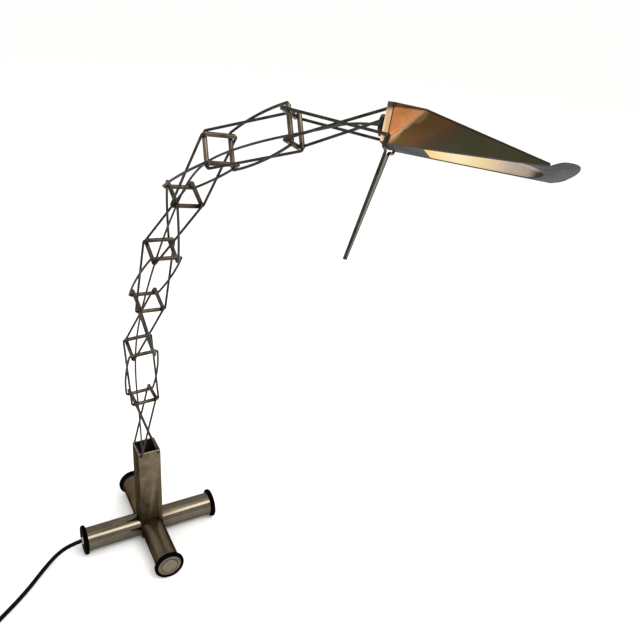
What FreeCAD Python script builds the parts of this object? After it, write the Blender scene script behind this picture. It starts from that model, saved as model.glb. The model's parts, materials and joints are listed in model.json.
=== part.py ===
import FreeCAD, Part
import math
import os

V = FreeCAD.Vector

# Driving dimensions, millimetres and degrees
# The four-tube foot and the square post
post_width = 30.0
post_wall = 1.5
post_height = 153.0
foot_tube_radius = 16.0
foot_tube_wall = 2.5
foot_span = 94.0
ring_radius = 20.0
ring_width = 6.0
ring_flat = 0.15
ring_rounding = 2.4
cap_recess = 0.8
cap_thickness = 2.0
cap_edge = 0.4
spigot_length = 5.0
spigot_wall = 1.5
spigot_fit = 0.1
slug_standoff = 2.0
slug_gap = 3.0
slug_fit = 0.3
slug_bore_radius = 4.0
cable_hole_radius = 5.0
block_side = 12.0
block_height = 16.0

# The push switch in the front end cap
button_radius = 10.3
button_gap = 0.6
button_proud = 0.5
button_thickness = 3.0
button_edge = 0.4
stem_radius = 2.5
stem_length = 6.7
stem_gap = 0.3
stem_hole_depth = 6.0
switch_fit = 0.05
switch_length = 23.2
switch_well_depth = 5.2
switch_well_gap = 0.3

# The wire links and the soldered frames
wire_radius = 1.3
wire_bend = 1.9
wire_end_gap = 0.4
leg_offset = 17.4
leg_bow = 5.4
bow_share = 0.9
link_length = 92.6
frame_pitch = 26.4
frame_tube_radius = 2.3
frame_tube_half = 15.5
solder_depth = 0.2
pin_fit = 0.08
open_pin_fit = 0.5
end_pitch = 23.6
post_pivot_drop = 4.0
hook_inset = 11.5
pin_show = 0.9

# Lean of the first link of each bay from the axis of the frame below it
lean_angles = (14.18, 4.89, 20.59, 13.59, 18.79, -0.51, 33.69, 6.92)

# The lead that runs up inside the arm
lead_radius = 1.1
lead_station = 8.5
lead_straight = 22.0
lead_foot_low = 32.0
lead_foot_high = 43.0

# The folded shade, on the axes of the last pair of pivots
sheet = 0.7
collar_half = 15.0
collar_top = 14.2
collar_bottom = -18.0
collar_rear = -3.3
collar_seam = 2.0
crease_half = 14.7
crease_top = 12.2
crease_at = 28.0
front_half = 34.9
front_low = -20.4
front_high = -18.4
front_at = 126.7
slot_rear = 32.0
slot_border = 2.0
slot_corner = 3.0
slot_shoulder = 108.0
slot_tip = 122.2
tongue_rise_angle = 21.0
tongue_flare = 4.9
tongue_shoulder = 8.0
tongue_tip = 20.5
tongue_corner = 4.0

# The lampholder and the lamp inside the shade
holder_drop = -2.0
holder_radius = 8.0
holder_flange_radius = 9.0
holder_flange = 3.0
holder_rear = -9.5
holder_front = 14.0
holder_floor = 6.0
holder_plate_at = 4.6
holder_plate_thickness = 1.0
lamp_base_radius = 6.0
lamp_base_fit = 0.1
lamp_base_front = 17.0
lamp_radius = 8.0
lamp_front = 50.0

# The handle below the shade
handle_angle = 10.2
handle_straight = 9.0
handle_elbow = 10.4
handle_elbow_half = 5.2
handle_bend = 3.0
handle_tip = 103.0
handle_tip_half = 1.6
grip_top = 13.2
grip_end = 101.0
grip_depth = 2.0

# The mains cord and its plug
cord_radius = 2.8
floor_gap = 0.05
cord_joint = 0.6
gland_radius = 4.6
gland_proud = 1.8
gland_depth = 8.0
run_share = 0.45
cord_route = (
    (-112.0, 0.8, 17.3),
    (-129.0, 1.2, 7.6),
    (-148.0, -12.5, 2.85),
    (-169.3, -36.2, 2.85),
    (-190.2, -56.0, 2.85),
    (-214.0, -75.5, 2.85),
)
coil_entry = (-235.0, -96.5)
coil_heading_angle = -135.0
coil_outer = 45.1
coil_pitch = 6.2
coil_lower_halves = 7
coil_upper_halves = 6
coil_straight = 5.6
climb_share = 1.5
tail_runs = (26.0, 30.0, 24.0)
tail_turn_angles = (0.0, 24.0, 15.0)
tail_heights = (8.6, 7.0, 7.0)
plug_length = 36.0
plug_height = 14.0
plug_width = 30.0
plug_neck = 13.0
plug_taper = 16.0
plug_rounding = 2.0
prong_radius = 2.0
prong_length = 19.0
prong_pitch = 19.0

overrun = 1.0

# Sizes that follow from the ones above
axis_height = ring_radius - ring_flat
post_half = post_width / 2
post_foot = axis_height - post_half
foot_bore = foot_tube_radius - foot_tube_wall
cap_face = foot_span - cap_recess
cap_seat = cap_face - cap_thickness
spigot_radius = foot_bore - spigot_fit
stack = 2 * frame_tube_radius - solder_depth
BAYS = range(len(lean_angles))
LAST = BAYS[-1]
cord_low = cord_radius + floor_gap

X = V(1, 0, 0)
Y = V(0, 1, 0)
Z = V(0, 0, 1)

# Nodes of the mains cord, which don't count for the middle of the lamp
CORD_NODES = ("cord_run", "cord_coil", "cord_tail", "plug_body", "plug_prongs")


# General shapes

def cylinder(radius, start, end):
    """Solid cylinder between two points."""
    along = end - start
    return Part.makeCylinder(radius, along.Length, start, along)


def box_between(low, high):
    """Solid box between two corners."""
    size = high - low
    return Part.makeBox(size.x, size.y, size.z, low)


def filled(points):
    """Flat face with straight sides."""
    return Part.Face(Part.makePolygon(list(points) + [points[0]]))


def corner_radius(before, here, after):
    """Radius that rounds a corner over a share of its shorter run."""
    turn = (here - before).getAngle(after - here)
    shorter = min((here - before).Length, (after - here).Length)
    return run_share * shorter / math.tan(turn / 2)


def route_radii(points):
    """One radius for each corner of a cord's route."""
    radii = []
    for before, here, after in zip(points, points[1:], points[2:]):
        radii.append(corner_radius(before, here, after))
    return radii


def rounded_edges(points, radii):
    """Straight runs joined by arcs that are tangent to them."""
    edges = []
    start = points[0]
    for before, here, after, radius in zip(points, points[1:], points[2:], radii):
        back = (before - here).normalize()
        onward = (after - here).normalize()
        half_turn = (math.pi - back.getAngle(onward)) / 2
        reach = radius * math.tan(half_turn)
        middle = (back + onward).normalize()
        arc_start = here + back * reach
        arc_end = here + onward * reach
        arc_middle = here + middle * (radius / math.cos(half_turn) - radius)
        edges.append(Part.LineSegment(start, arc_start).toShape())
        edges.append(Part.Arc(arc_start, arc_middle, arc_end).toShape())
        start = arc_end
    edges.append(Part.LineSegment(start, points[-1]).toShape())
    return edges


def swept(edges, start, heading, radius):
    """Round bar along a row of tangent edges."""
    ring = Part.Wire([Part.Circle(start, heading, radius).toShape()])
    return Part.Wire(edges).makePipeShell([ring], True, False)


def rod(points, radii, radius):
    """Round bar along a rounded route."""
    edges = rounded_edges(points, radii)
    return swept(edges, points[0], points[1] - points[0], radius)


def turned_to(side, shape):
    """Shape made on the +X arm of the foot, turned to one of its four sides."""
    placed = shape.copy()
    placed.rotate(V(0, 0, 0), Z, side)
    return placed


# The arm's rest pose

def crossed_pair(ground, coupler, lean):
    """Upper pivots, across and up, of a crossed pair of equal links."""
    first_low = V(-ground / 2, 0, 0)
    second_low = V(ground / 2, 0, 0)
    angle = math.radians(lean)
    first_top = first_low + V(math.sin(angle), 0, math.cos(angle)) * link_length
    reach = first_top - second_low
    span = reach.Length
    along = (span ** 2 + link_length ** 2 - coupler ** 2) / (2 * span)
    aside = math.sqrt(link_length ** 2 - along ** 2)
    unit = reach * (1 / span)
    normal = V(-unit.z, 0, unit.x)
    options = [second_low + unit * along + normal * aside * sign for sign in (1, -1)]
    second_top = min(options, key=lambda point: point.x)
    return first_top, second_top


def on_bay(number, across, aside, up):
    """Point of a bay: its plane is X-Z in even bays and Y-Z in odd ones."""
    return V(across, aside, up) if number % 2 == 0 else V(aside, across, up)


def bay_sizes(number):
    """Spacings of a bay's lower and upper pivots and the height of the lower ones."""
    ground = end_pitch if number == 0 else frame_pitch
    coupler = end_pitch if number == LAST else frame_pitch
    lift = -post_pivot_drop if number == 0 else -stack / 2
    return ground, coupler, lift


def bay_pivots(number):
    """Four pivots of a bay in the frame below it, as (across, up) pairs."""
    ground, coupler, lift = bay_sizes(number)
    first_top, second_top = crossed_pair(ground, coupler, lean_angles[number])
    return ((-ground / 2, lift), (first_top.x, first_top.z + lift),
            (ground / 2, lift), (second_top.x, second_top.z + lift))


def next_frame(number, frame):
    """Placement of the frame above a bay."""
    first_low, first_top, second_low, second_top = bay_pivots(number)
    tilt = math.atan2(first_top[1] - second_top[1], first_top[0] - second_top[0])
    centre = ((first_top[0] + second_top[0]) / 2 + math.sin(tilt) * stack / 2,
              (first_top[1] + second_top[1]) / 2 - math.cos(tilt) * stack / 2)
    axis = V(0, -1, 0) if number % 2 == 0 else V(1, 0, 0)
    step = FreeCAD.Placement(on_bay(number, centre[0], 0, centre[1]),
                             FreeCAD.Rotation(axis, math.degrees(tilt)))
    return frame.multiply(step)


def arm_frames():
    """Placements of the post's top, the soldered frames and the shade."""
    frames = [FreeCAD.Placement(V(0, 0, post_height), FreeCAD.Rotation())]
    for number in BAYS:
        frames.append(next_frame(number, frames[-1]))
    return frames


FRAMES = arm_frames()


# The foot

def foot_tube():
    """One tube of the foot, mitred where it meets its neighbours."""
    start = V(post_half, 0, axis_height)
    end = V(cap_seat, 0, axis_height)
    tube = cylinder(foot_tube_radius, start, end).cut(cylinder(foot_bore, start, end))
    reach = 2 * cap_seat
    wedge = filled([V(0, 0, 0), V(reach, -reach, 0), V(reach, reach, 0)])
    return tube.common(wedge.extrude(V(0, 0, 2 * ring_radius)))


def foot_ring():
    """Rubber ring with the flat that it stands on."""
    inner = foot_span - ring_width
    start = V(inner, 0, axis_height)
    end = V(foot_span, 0, axis_height)
    ring = cylinder(ring_radius, start, end)
    edges = [edge for edge in ring.Edges if isinstance(edge.Curve, Part.Circle)]
    ring = ring.makeFillet(ring_rounding, edges)
    ring = ring.cut(cylinder(foot_tube_radius, start - X * overrun, end + X * overrun))
    low = V(inner - overrun, -ring_radius, -ring_radius)
    return ring.cut(box_between(low, V(foot_span + overrun, ring_radius, 0)))


def end_cap(hole_radius):
    """End disc with a spigot in the tube, and a hole through it if asked."""
    seat = V(cap_seat, 0, axis_height)
    face = V(cap_face, 0, axis_height)
    disc = cylinder(foot_tube_radius, seat, face)
    rim = [edge for edge in disc.Edges
           if isinstance(edge.Curve, Part.Circle) and edge.BoundBox.XMin > cap_seat + cap_edge]
    disc = disc.makeChamfer(cap_edge, rim)
    inner = seat - X * spigot_length
    spigot = cylinder(spigot_radius, inner, seat)
    spigot = spigot.cut(cylinder(spigot_radius - spigot_wall, inner, seat))
    cap = disc.fuse(spigot)
    if hole_radius:
        cap = cap.cut(cylinder(hole_radius, seat - X * overrun, face + X * overrun))
    return cap


def ballast_slug():
    """Iron slug inside a foot tube, bored for cables."""
    start = V(post_half + slug_standoff, 0, axis_height)
    end = V(cap_seat - switch_length - slug_gap, 0, axis_height)
    slug = cylinder(foot_bore - slug_fit, start, end)
    return slug.cut(cylinder(slug_bore_radius, start - X * overrun, end + X * overrun))


def post():
    """Square post, open at the top, with cable holes and pivot holes."""
    inner = post_half - post_wall
    body = box_between(V(-post_half, -post_half, post_foot), V(post_half, post_half, post_height))
    body = body.cut(box_between(V(-inner, -inner, post_foot - overrun),
                                V(inner, inner, post_height + overrun)))
    middle = V(0, 0, axis_height)
    reach = post_half + overrun
    body = body.cut(cylinder(cable_hole_radius, middle - X * reach, middle + X * reach))
    body = body.cut(cylinder(cable_hole_radius, middle - Y * reach, middle + Y * reach))
    level = post_height - post_pivot_drop
    for side in (-1, 1):
        centre = V(side * end_pitch / 2, 0, level)
        hole = cylinder(wire_radius + pin_fit, centre - Y * reach, centre + Y * reach)
        body = body.cut(hole)
    return body


def terminal_block():
    """Block in the post's foot that joins the cord, the switch and the lead."""
    half = block_side / 2
    return box_between(V(-half, -half, axis_height - block_height / 2),
                       V(half, half, axis_height + block_height / 2))


# The push switch, made on the +X arm like the rest of the foot

def switch_button():
    """Round push button with its stem."""
    face = V(cap_face + button_proud, 0, axis_height)
    rear = face - X * button_thickness
    head = cylinder(button_radius, rear, face)
    rim = [edge for edge in head.Edges
           if isinstance(edge.Curve, Part.Circle) and edge.BoundBox.XMin > rear.x + button_edge]
    head = head.makeFillet(button_edge, rim)
    return head.fuse(cylinder(stem_radius, rear - X * stem_length, rear))


def switch_body():
    """Switch housing behind the cap, with a well for the button."""
    front = V(cap_seat, 0, axis_height)
    rear = front - X * switch_length
    well = front - X * switch_well_depth
    radius = spigot_radius - spigot_wall - switch_fit
    body = cylinder(radius, rear, front)
    body = body.cut(cylinder(button_radius + switch_well_gap, well, front + X * overrun))
    hole_end = well - X * stem_hole_depth
    return body.cut(cylinder(stem_radius + stem_gap, hole_end, front))


# The arm

def link_radii(bowed):
    """Bend radii of a closed link, for straight or bowed legs."""
    if not bowed:
        return [wire_bend] * 4
    half = link_length / 2
    turn = 2 * math.atan(leg_bow / half)
    wide = bow_share * half / math.tan(turn / 2)
    return [wire_bend, wide, wire_bend, wire_bend, wide, wire_bend]


def closed_link(number, low, top, bowed):
    """Closed wire link whose two ends meet inside the tube at its lower pivot."""
    middle = ((low[0] + top[0]) / 2, (low[1] + top[1]) / 2)
    wide = leg_offset + leg_bow
    side = [(low, leg_offset), (middle, wide), (top, leg_offset)]
    if not bowed:
        side = [(low, leg_offset), (top, leg_offset)]
    route = [(low, wire_end_gap / 2)] + side
    route += [(spot, -aside) for spot, aside in reversed(side)] + [(low, -wire_end_gap / 2)]
    frame = FRAMES[number]
    points = [frame.multVec(on_bay(number, spot[0], aside, spot[1])) for spot, aside in route]
    return rod(points, link_radii(bowed), wire_radius)


def hooked_link(number, hook, pin, wall_half):
    """Open wire link whose ends hook outward through the walls at one pivot."""
    out = wall_half + pin_show
    route = [(hook, out), (hook, hook_inset), (pin, leg_offset)]
    route += [(spot, -aside) for spot, aside in reversed(route)]
    frame = FRAMES[number]
    points = [frame.multVec(on_bay(number, spot[0], aside, spot[1])) for spot, aside in route]
    return rod(points, [wire_bend] * 4, wire_radius)


def handle_point(aside, down):
    """Point of the handle, measured down it from the shade's lower pivot."""
    angle = math.radians(handle_angle)
    low = V(aside, -end_pitch / 2, stack / 2)
    return FRAMES[-1].multVec(low + V(0, -math.cos(angle), -math.sin(angle)) * down)


def handle_half(down):
    """Distance of the handle's two wires from its middle, at a distance down it."""
    share = (down - handle_elbow) / (handle_tip - handle_elbow)
    return handle_elbow_half + (handle_tip_half - handle_elbow_half) * share


def handle_link(upper):
    """Wire link of the last bay, which runs on below the shade as the handle."""
    down = [(handle_tip_half, handle_tip), (handle_elbow_half, handle_elbow),
            (leg_offset, handle_straight), (leg_offset, 0)]
    far = [handle_point(aside, depth) for aside, depth in down]
    near = [handle_point(-aside, depth) for aside, depth in reversed(down)]
    frame = FRAMES[LAST]
    top = [frame.multVec(on_bay(LAST, upper[0], aside, upper[1]))
           for aside in (leg_offset, -leg_offset)]
    bends = [handle_bend, handle_bend, wire_bend]
    radii = bends + [wire_bend, wire_bend] + list(reversed(bends))
    wire = rod(far + top + near, radii, wire_radius)
    pin = cylinder(wire_radius, handle_point(leg_offset, 0), handle_point(-leg_offset, 0))
    return wire.fuse(pin).removeSplitter()


def handle_grip(wire):
    """Flat tapered grip between the handle's two wires."""
    along = handle_point(0, handle_tip) - handle_point(0, 0)
    sections = []
    for down in (grip_top, grip_end):
        centre = handle_point(0, down)
        wide = handle_point(handle_half(down), down) - centre
        thick = along.cross(wide).normalize() * (grip_depth / 2)
        corners = [centre + wide * side + thick * face
                   for side, face in ((1, 1), (-1, 1), (-1, -1), (1, -1))]
        sections.append(Part.makePolygon(corners + [corners[0]]))
    return Part.makeLoft(sections, True).cut(wire)


def links(number):
    """The two wire links of a bay."""
    first_low, first_top, second_low, second_top = bay_pivots(number)
    if number == LAST:
        return handle_link(second_low), hooked_link(LAST, first_top, first_low, collar_half)
    first = closed_link(number, first_low, first_top, False)
    if number == 0:
        return first, hooked_link(0, second_low, second_top, post_half)
    return first, closed_link(number, second_low, second_top, True)


def soldered_frame(number):
    """Square of four soldered tubes that the links of two bays turn in."""
    below = number - 1
    frame = FRAMES[number]
    tubes = []
    bores = []
    for bay, height, top in ((below, stack / 2, True), (number, -stack / 2, False)):
        for side in (-1, 1):
            across = side * frame_pitch / 2
            start = frame.multVec(on_bay(bay, across, -frame_tube_half, height))
            end = frame.multVec(on_bay(bay, across, frame_tube_half, height))
            unit = (end - start).normalize()
            fit = open_pin_fit if top and side < 0 else pin_fit
            tubes.append(cylinder(frame_tube_radius, start, end))
            bores.append(cylinder(wire_radius + fit, start - unit * overrun, end + unit * overrun))
    body = tubes[0].multiFuse(tubes[1:])
    return body.cut(Part.makeCompound(bores))


def lead_point(number):
    """Place where the lead passes a frame."""
    return FRAMES[number].multVec(V(-lead_station, -lead_station, 0))


def lead_heading(number):
    """Direction of the lead where it passes a frame."""
    return FRAMES[number].Rotation.multVec(Z)


def lead_length(number):
    """The lead's stretch inside one bay."""
    start = lead_point(number)
    if number == LAST:
        end = FRAMES[-1].multVec(V(0, holder_drop, holder_rear))
    else:
        end = lead_point(number + 1)
    points = [start, start + lead_heading(number) * lead_straight,
              end - lead_heading(number + 1) * lead_straight, end]
    return points


def lead_in_post():
    """The lead's stretch from the terminal block to the post's mouth."""
    top = lead_point(0)
    bottom = V(0, 0, axis_height + block_height / 2)
    return [bottom, bottom + Z * lead_foot_low, top - Z * lead_foot_high, top]


# The shade, made on its own axes and then placed

def side_plane_x(point_y, point_z):
    """Half width of the main side plane at a height and a distance forward."""
    first = V(collar_half, collar_bottom, collar_seam)
    second = V(crease_half, crease_top, crease_at)
    third = V(front_half, front_low, front_at)
    normal = (second - first).cross(third - first)
    rest = normal.y * (point_y - first.y) + normal.z * (point_z - first.z)
    return first.x - rest / normal.x


def floor_level(distance):
    """Height of the shade's lower edges at a distance forward."""
    fall = (front_low - collar_bottom) / (front_at - collar_seam)
    return collar_bottom + fall * (distance - collar_seam)


def roof_level(distance):
    """Height of the sloping roof at a distance forward."""
    fall = (front_high - crease_top) / (front_at - crease_at)
    return crease_top + fall * (distance - crease_at)


def shade_body(inset, front):
    """Closed body from the collar's seam to the front, its walls moved in by an inset."""
    crease_level = crease_top - inset
    high_level = roof_level(front) - inset
    low_level = floor_level(front)
    spots = ((collar_half - inset, collar_bottom, collar_seam),
             (collar_half - inset, collar_top - inset, collar_seam),
             (side_plane_x(crease_level, crease_at) - inset, crease_level, crease_at),
             (side_plane_x(high_level, front) - inset, high_level, front),
             (side_plane_x(low_level, front) - inset, low_level, front))
    seam_low, seam_top, crease, high, low = [
        [V(side * spot[0], spot[1], spot[2]) for side in (-1, 1)] for spot in spots]
    across = ((seam_low, seam_top), (seam_top, crease), (crease, high), (high, low), (low, seam_low))
    faces = [filled([a[0], a[1], b[1], b[0]]) for a, b in across]
    for side in (0, 1):
        faces.append(filled([seam_low[side], seam_top[side], crease[side]]))
        faces.append(filled([seam_low[side], crease[side], high[side], low[side]]))
    return Part.Solid(Part.makeShell(faces))


def collar_box(inset, rear, front):
    """Square collar behind the seam, its walls moved in by an inset."""
    half = collar_half - inset
    return box_between(V(-half, collar_bottom + inset, rear), V(half, collar_top - inset, front))


def shade_shell():
    """Sheet shade, open at the rear and underneath."""
    shell = collar_box(0, collar_rear, collar_seam).fuse(shade_body(0, front_at))
    shell = shell.cut(shade_body(sheet, front_at - sheet))
    shell = shell.cut(collar_box(sheet, collar_rear - overrun, collar_seam + sheet))
    reach = collar_half + overrun
    for level, fit in ((-end_pitch / 2, pin_fit), (end_pitch / 2, open_pin_fit)):
        centre = V(0, level, stack / 2)
        shell = shell.cut(cylinder(wire_radius + fit, centre - X * reach, centre + X * reach))
    return shell.removeSplitter()


def plate_profile():
    """Side profile of the bottom plate and its upturned tongue."""
    slope = math.atan2(front_low - collar_bottom, front_at - collar_seam)
    rise = slope + math.radians(tongue_rise_angle)
    start = V(0, collar_bottom, collar_seam)
    bend = V(0, front_low, front_at)
    end = bend + V(0, math.tan(rise), 1) * (tongue_tip + overrun)
    middle = (slope + rise) / 2
    mitre = sheet / math.cos((rise - slope) / 2)
    under = [start + V(0, -math.cos(slope), math.sin(slope)) * sheet,
             bend + V(0, -math.cos(middle), math.sin(middle)) * mitre,
             end + V(0, -math.cos(rise), math.sin(rise)) * sheet]
    return [start, bend, end] + list(reversed(under))


def plate_outline(reach):
    """Outline of the plate and its round tongue seen from above, as a prism."""
    shoulder = front_at + tongue_shoulder
    wide = front_half + tongue_flare
    left = [V(-wide, reach, shoulder), V(-front_half, reach, front_at),
            V(-collar_half, reach, collar_seam - sheet)]
    points = left + [V(-spot.x, spot.y, spot.z) for spot in reversed(left)]
    edges = [Part.LineSegment(a, b).toShape() for a, b in zip(points, points[1:])]
    tip = V(0, reach, front_at + tongue_tip)
    edges.append(Part.Arc(points[-1], tip, points[0]).toShape())
    prism = Part.Face(Part.Wire(edges)).extrude(V(0, -2 * reach, 0))
    corners = [edge for edge in prism.Edges
               if edge.Length > reach and edge.CenterOfMass.z > shoulder - sheet]
    return prism.makeFillet(tongue_corner, corners)


def slot_prism(reach):
    """Light opening in the bottom plate, as a prism."""
    def half_at(distance):
        share = (distance - collar_seam) / (front_at - collar_seam)
        return collar_half + (front_half - collar_half) * share - slot_border
    rear = half_at(slot_rear)
    wide = half_at(slot_shoulder)
    a, b = V(-rear, reach, slot_rear), V(-wide, reach, slot_shoulder)
    c, d = V(wide, reach, slot_shoulder), V(rear, reach, slot_rear)
    edges = [Part.LineSegment(a, b).toShape(), Part.Arc(b, V(0, reach, slot_tip), c).toShape(),
             Part.LineSegment(c, d).toShape(), Part.LineSegment(d, a).toShape()]
    prism = Part.Face(Part.Wire(edges)).extrude(V(0, -2 * reach, 0))
    corners = [edge for edge in prism.Edges
               if edge.Length > reach and edge.CenterOfMass.z < slot_rear + slot_corner]
    return prism.makeFillet(slot_corner, corners)


def bottom_plate():
    """Grey bottom plate with the light opening and the upturned tongue."""
    reach = 2 * front_half
    slab = filled(plate_profile())
    slab.translate(V(-reach, 0, 0))
    slab = slab.extrude(V(2 * reach, 0, 0))
    return slab.common(plate_outline(reach)).cut(slot_prism(reach))


def holder_plate():
    """Plate across the collar that carries the lampholder."""
    inner = collar_half - sheet
    plate = box_between(V(-inner, collar_bottom + sheet, holder_plate_at),
                        V(inner, collar_top - sheet, holder_plate_at + holder_plate_thickness))
    start = V(0, holder_drop, holder_plate_at - overrun)
    end = V(0, holder_drop, holder_plate_at + holder_plate_thickness + overrun)
    plate = plate.common(shade_body(sheet, front_at))
    return plate.cut(cylinder(holder_radius, start, end))


def holder_axis(distance):
    """Point on the lampholder's axis."""
    return V(0, holder_drop, distance)


def lamp_holder():
    """Black lampholder with a socket for the lamp."""
    body = cylinder(holder_radius, holder_axis(holder_rear), holder_axis(holder_front))
    flange = cylinder(holder_flange_radius, holder_axis(holder_rear),
                      holder_axis(holder_rear + holder_flange))
    socket = cylinder(lamp_base_radius + lamp_base_fit, holder_axis(holder_floor),
                      holder_axis(holder_front + overrun))
    return body.fuse(flange).cut(socket)


def lamp_base():
    """Metal base of the lamp."""
    return cylinder(lamp_base_radius, holder_axis(holder_floor), holder_axis(lamp_base_front))


def lamp_glass():
    """Glass of the lamp, a tube with a domed end."""
    straight_end = lamp_front - lamp_radius
    tube = cylinder(lamp_radius, holder_axis(lamp_base_front), holder_axis(straight_end))
    dome = Part.makeSphere(lamp_radius, holder_axis(straight_end))
    dome = dome.common(cylinder(lamp_radius + overrun, holder_axis(straight_end),
                                holder_axis(lamp_front + overrun)))
    return tube.fuse(dome)


# The mains cord

def cord_gland():
    """Pale bush that the cord leaves the left tube through."""
    out = V(-cap_face - gland_proud, 0, axis_height)
    inner = out + X * gland_depth
    bush = cylinder(gland_radius, out, inner)
    return bush.cut(cylinder(cord_radius, out - X * overrun, inner + X * overrun))


def cord_inside():
    """The cord's straight stretch inside the left tube."""
    outer = V(cord_joint - cap_face - gland_proud, 0, axis_height)
    return cylinder(cord_radius, outer, V(-block_side / 2, 0, axis_height))


def heading(degrees):
    """Level direction at an angle from +X."""
    return V(math.cos(math.radians(degrees)), math.sin(math.radians(degrees)), 0)


def cord_points():
    """Route of the cord from its gland to the coil."""
    start = V(-cap_face - gland_proud, 0, axis_height)
    coil_start = V(coil_entry[0], coil_entry[1], cord_low)
    return [start] + [V(*spot) for spot in cord_route] + [coil_start]


def arc_from(start, tangent, end):
    """Arc from a point along a tangent to another point."""
    chord = end - start
    half = tangent.getAngle(chord)
    apex = start + tangent * (chord.Length / (2 * math.cos(half)))
    weight = math.cos(half)
    middle = ((start + end) * 0.5 + apex * weight) * (1 / (1 + weight))
    return Part.Arc(start, middle, end).toShape()


def biarc(start, start_tangent, end, end_tangent):
    """Two arcs that join two points with given directions."""
    chord = end - start
    both = start_tangent + end_tangent
    spread = 2 * (1 - start_tangent.dot(end_tangent))
    product = chord.dot(both)
    reach = (math.sqrt(product ** 2 + spread * chord.dot(chord)) - product) / spread
    first = start + start_tangent * reach
    second = end - end_tangent * reach
    joint = (first + second) * 0.5
    return [arc_from(start, start_tangent, joint), arc_from(joint, (second - first).normalize(), end)]


def half_turn(start, direction, radius):
    """Level half turn to the right of a direction, and where it ends."""
    side = V(direction.y, -direction.x, 0)
    top = start + side * radius + direction * radius
    end = start + side * (2 * radius)
    return Part.Arc(start, top, end).toShape(), end


def climbing_turn(start, direction, radius):
    """Half turn that climbs to the next layer, as biarcs of quarter turns."""
    side = V(direction.y, -direction.x, 0)
    rise = Z * coil_pitch
    top = start + side * radius + direction * radius + rise * 0.5
    end = start + side * (2 * radius) + rise
    slope = climb_share * coil_pitch / (math.pi * radius)
    across = (side + Z * slope).normalize()
    edges = biarc(start, direction, top, across)
    edges += biarc(top, across, end, direction * -1)
    return edges, end


def coil_edges():
    """Coil of the unseen cord: inward below, outward above."""
    direction = heading(coil_heading_angle)
    start = V(coil_entry[0], coil_entry[1], cord_low)
    spot = start + direction * coil_straight
    edges = [Part.LineSegment(start, spot).toShape()]
    radius = coil_outer
    for _ in range(coil_lower_halves):
        edge, spot = half_turn(spot, direction, radius)
        edges.append(edge)
        direction = direction * -1
        radius = radius - coil_pitch / 2
    climb, spot = climbing_turn(spot, direction, radius)
    edges += climb
    direction = direction * -1
    for _ in range(coil_upper_halves):
        radius = radius + coil_pitch / 2
        edge, spot = half_turn(spot, direction, radius)
        edges.append(edge)
        direction = direction * -1
    end = spot + direction * coil_straight
    edges.append(Part.LineSegment(spot, end).toShape())
    return edges, start, end, direction


def tail_points(start, direction):
    """Route of the cord from the coil to the plug."""
    points = [start]
    angle = math.degrees(math.atan2(direction.y, direction.x))
    for run, turn, height in zip(tail_runs, tail_turn_angles, tail_heights):
        angle = angle + turn
        spot = points[-1] + heading(angle) * run
        points.append(V(spot.x, spot.y, height))
    return points


def plug_place(points):
    """Placement of the plug, with its axis along the cord's last run."""
    last = points[-1] - points[-2]
    angle = math.degrees(math.atan2(last.y, last.x))
    return FreeCAD.Placement(V(points[-1].x, points[-1].y, 0), FreeCAD.Rotation(Z, angle))


def plug_body():
    """Plain two-pin plug, lying flat."""
    neck = plug_neck / 2
    half = plug_width / 2
    outline = [V(0, -neck, 0), V(plug_taper, -half, 0), V(plug_length, -half, 0),
               V(plug_length, half, 0), V(plug_taper, half, 0), V(0, neck, 0)]
    body = filled(outline).extrude(V(0, 0, plug_height))
    upright = [edge for edge in body.Edges if edge.BoundBox.ZLength > plug_height / 2]
    body = body.makeFillet(plug_rounding, upright)
    top = [edge for edge in body.Edges if edge.BoundBox.ZMin > plug_height / 2]
    return body.makeFillet(plug_rounding, top)


def plug_prongs():
    """The plug's two round prongs."""
    prongs = []
    for side in (-1, 1):
        start = V(plug_length, side * prong_pitch / 2, plug_height / 2)
        prongs.append(cylinder(prong_radius, start, start + X * prong_length))
    return Part.makeCompound(prongs)


# Checks that are printed

def report(name, points, shape, radius):
    """Print a cord's bend radii and its volume against section times length."""
    radii = route_radii(points)
    length = sum(edge.Length for edge in rounded_edges(points, radii))
    share = shape.Volume / (math.pi * radius ** 2 * length)
    print(name, "radii", [round(value, 1) for value in radii], "volume share", round(share, 4))


def least_gap(edges):
    """Least gap of the coil to itself, measured on points along it."""
    spots = []
    for edge in edges:
        count = max(2, int(edge.Length / cord_radius))
        for point in edge.discretize(count)[:-1]:
            spots.append(point)
    gap = None
    skip = int(math.pi * coil_outer / 2 / cord_radius)
    for index, point in enumerate(spots):
        for other in spots[index + skip:]:
            distance = (point - other).Length - 2 * cord_radius
            gap = distance if gap is None else min(gap, distance)
    return gap


# Build and write every node

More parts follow.
